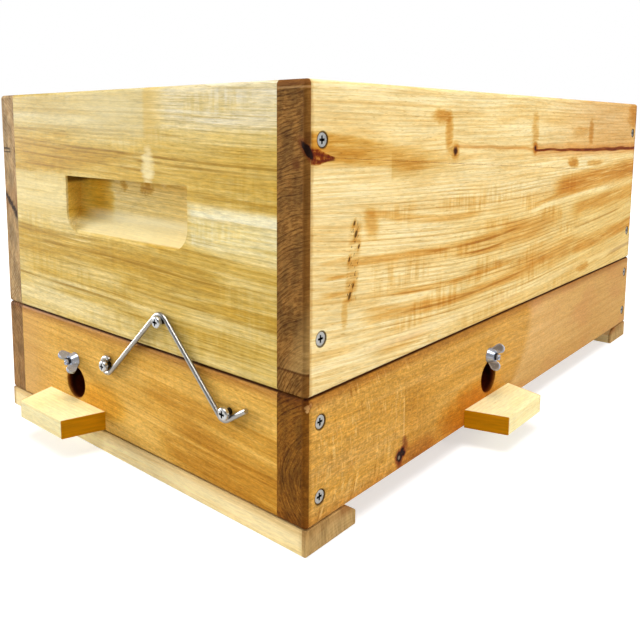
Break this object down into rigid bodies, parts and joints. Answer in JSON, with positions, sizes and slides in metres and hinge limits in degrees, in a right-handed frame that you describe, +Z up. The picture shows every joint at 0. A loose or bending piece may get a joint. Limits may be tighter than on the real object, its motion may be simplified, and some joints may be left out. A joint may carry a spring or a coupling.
{
  "type": "mating nuc box",
  "caption": "Wooden mating nucleus beehive: base box on runners with side and front entrances, landing boards and gates, clipped to an upper box with lift-out frames.",
  "frame": {"origin": "on the ground, under the middle of the part's outline, landing boards and clips included", "axes": "+Z up, +Y along the boxes towards the back, so the front entrance faces -Y and the side entrance +X"},
  "size_m": [0.319, 0.538, 0.233],
  "materials": {
    "upper_wood": "oiled pale boards",
    "base_wood": "oiled honey-brown boards",
    "pale_wood": "planed pale softwood",
    "plywood": "sanded plywood",
    "frame_wood": "planed pine",
    "wax": "pressed beeswax sheet",
    "zinc_steel": "bright zinc plate",
    "gate_steel": "galvanised sheet"
  },
  "bodies": {
    "base": {"base_front": "base_wood", "base_back": "base_wood", "base_left": "base_wood", "base_right": "base_wood", "floor_panel": "plywood", "base_divider": "plywood", "front_runner": "pale_wood", "rear_runner": "pale_wood", "front_landing_board": "pale_wood", "side_landing_board": "pale_wood", "base_corner_screws": "zinc_steel", "runner_screws": "zinc_steel", "landing_screws": "zinc_steel", "lower_clip_screws": "zinc_steel"},
    "upper_box": {"upper_front": "upper_wood", "upper_back": "upper_wood", "upper_left": "upper_wood", "upper_right": "upper_wood", "upper_corner_screws": "zinc_steel", "upper_clip_screws": "zinc_steel"},
    "divider": {"divider_board": "plywood"},
    "front_clip": {"front_clip_wire": "zinc_steel"},
    "rear_clip": {"rear_clip_wire": "zinc_steel"},
    "front_gate_set": {"front_gate": "gate_steel", "front_gate_bolt": "zinc_steel"},
    "front_nut": {"front_wing_nut": "zinc_steel"},
    "side_gate_set": {"side_gate": "gate_steel", "side_gate_bolt": "zinc_steel"},
    "side_nut": {"side_wing_nut": "zinc_steel"},
    "left_frame_1": {"left_frame_1_top_bar": "frame_wood", "left_frame_1_front_end_bar": "frame_wood", "left_frame_1_rear_end_bar": "frame_wood", "left_frame_1_bottom_bar": "frame_wood", "left_frame_1_foundation": "wax"},
    "left_frame_2": {"left_frame_2_top_bar": "frame_wood", "left_frame_2_front_end_bar": "frame_wood", "left_frame_2_rear_end_bar": "frame_wood", "left_frame_2_bottom_bar": "frame_wood", "left_frame_2_foundation": "wax"},
    "left_frame_3": {"left_frame_3_top_bar": "frame_wood", "left_frame_3_front_end_bar": "frame_wood", "left_frame_3_rear_end_bar": "frame_wood", "left_frame_3_bottom_bar": "frame_wood", "left_frame_3_foundation": "wax"},
    "right_frame_1": {"right_frame_1_top_bar": "frame_wood", "right_frame_1_front_end_bar": "frame_wood", "right_frame_1_rear_end_bar": "frame_wood", "right_frame_1_bottom_bar": "frame_wood", "right_frame_1_foundation": "wax"},
    "right_frame_2": {"right_frame_2_top_bar": "frame_wood", "right_frame_2_front_end_bar": "frame_wood", "right_frame_2_rear_end_bar": "frame_wood", "right_frame_2_bottom_bar": "frame_wood", "right_frame_2_foundation": "wax"},
    "right_frame_3": {"right_frame_3_top_bar": "frame_wood", "right_frame_3_front_end_bar": "frame_wood", "right_frame_3_rear_end_bar": "frame_wood", "right_frame_3_bottom_bar": "frame_wood", "right_frame_3_foundation": "wax"}
  },
  "joints": [
    {"name": "upper_box_lift", "type": "slide", "parent": "base", "child": "upper_box", "axis": [0, 0, 1], "range_m": [0, 0.2]},
    {"name": "divider_lift", "type": "slide", "parent": "upper_box", "child": "divider", "axis": [0, 0, 1], "range_m": [0, 0.16]},
    {"name": "front_clip_swing", "type": "hinge", "parent": "base", "child": "front_clip", "pos_m": [-0.0305, -0.242, 0.061], "axis": [0, -1, 0], "range_deg": [0, 100], "deforming": ["front_clip_wire"]},
    {"name": "rear_clip_swing", "type": "hinge", "parent": "base", "child": "rear_clip", "pos_m": [0.0035, 0.263, 0.061], "axis": [0, 1, 0], "range_deg": [0, 100], "deforming": ["rear_clip_wire"]},
    {"name": "front_gate_turn", "type": "hinge", "parent": "base", "child": "front_gate_set", "pos_m": [-0.0705, -0.242, 0.055], "axis": [0, -1, 0], "range_deg": [0, 120]},
    {"name": "side_gate_turn", "type": "hinge", "parent": "base", "child": "side_gate_set", "pos_m": [0.1325, -0.0465, 0.055], "axis": [1, 0, 0], "range_deg": [0, 120]},
    {"name": "front_nut_spin", "type": "hinge", "parent": "front_gate_set", "child": "front_nut", "pos_m": [-0.0705, -0.242, 0.055], "axis": [0, -1, 0], "continuous": true},
    {"name": "side_nut_spin", "type": "hinge", "parent": "side_gate_set", "child": "side_nut", "pos_m": [0.1325, -0.0465, 0.055], "axis": [1, 0, 0], "continuous": true},
    {"name": "left_frame_1_lift", "type": "slide", "parent": "upper_box", "child": "left_frame_1", "axis": [0, 0, 1], "range_m": [0, 0.16]},
    {"name": "left_frame_2_lift", "type": "slide", "parent": "upper_box", "child": "left_frame_2", "axis": [0, 0, 1], "range_m": [0, 0.16]},
    {"name": "left_frame_3_lift", "type": "slide", "parent": "upper_box", "child": "left_frame_3", "axis": [0, 0, 1], "range_m": [0, 0.16]},
    {"name": "right_frame_1_lift", "type": "slide", "parent": "upper_box", "child": "right_frame_1", "axis": [0, 0, 1], "range_m": [0, 0.16]},
    {"name": "right_frame_2_lift", "type": "slide", "parent": "upper_box", "child": "right_frame_2", "axis": [0, 0, 1], "range_m": [0, 0.16]},
    {"name": "right_frame_3_lift", "type": "slide", "parent": "upper_box", "child": "right_frame_3", "axis": [0, 0, 1], "range_m": [0, 0.16]}
  ]
}
